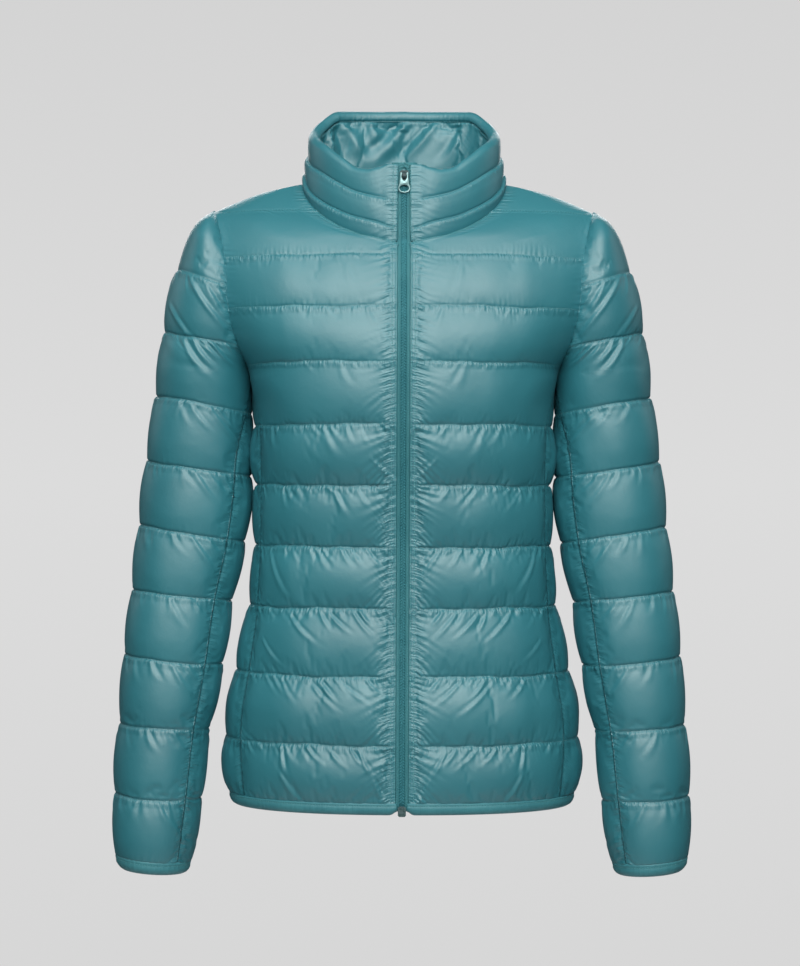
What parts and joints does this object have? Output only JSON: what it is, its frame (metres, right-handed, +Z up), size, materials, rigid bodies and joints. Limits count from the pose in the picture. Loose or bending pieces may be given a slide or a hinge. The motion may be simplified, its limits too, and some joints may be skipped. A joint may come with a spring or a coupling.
{
  "type": "puffer jacket",
  "caption": "Light quilted down jacket, hollow as if worn, with stand collar, set-in sleeves, full-length zip with hinged pull tab, and elastic bindings at hem and cuffs.",
  "frame": {"origin": "midway between the two points where the shoulder seams meet the collar, where the wearer's neck and shoulders carry the jacket", "axes": "+Z up, -Y the way the jacket's front faces, +X towards the wearer's left"},
  "size_m": [0.5696, 0.2446, 0.7401],
  "materials": {
    "shell": "thin calendered nylon with a soft gloss, teal",
    "binding": "narrow knitted elastic, satin, teal",
    "zip_tape": "woven polyester tape, matt, teal",
    "zip_coil": "moulded nylon coil under knitted tape, teal",
    "slider": "smooth lacquered die-cast metal, dark teal grey",
    "pull": "smooth lacquered metal, pale silvery teal",
    "zip_box": "smooth lacquered metal, pale silvery teal"
  },
  "bodies": {
    "jacket": {"front_left": "shell", "front_right": "shell", "back": "shell", "sleeve_left": "shell", "sleeve_right": "shell", "collar": "shell", "collar_facing": "shell", "hem_binding": "binding", "cuff_binding_left": "binding", "cuff_binding_right": "binding", "zip_tape_left": "zip_tape", "zip_tape_right": "zip_tape", "zip_chain": "zip_coil", "zip_slider": "slider", "zip_box": "zip_box"},
    "pull_tab": {"zip_pull": "pull"}
  },
  "joints": [
    {"name": "pull_tab_swing", "type": "hinge", "parent": "jacket", "child": "pull_tab", "pos_m": [0, -0.07987, 0.0021], "axis": [-1, 0, 0], "range_deg": [0, 170]}
  ]
}
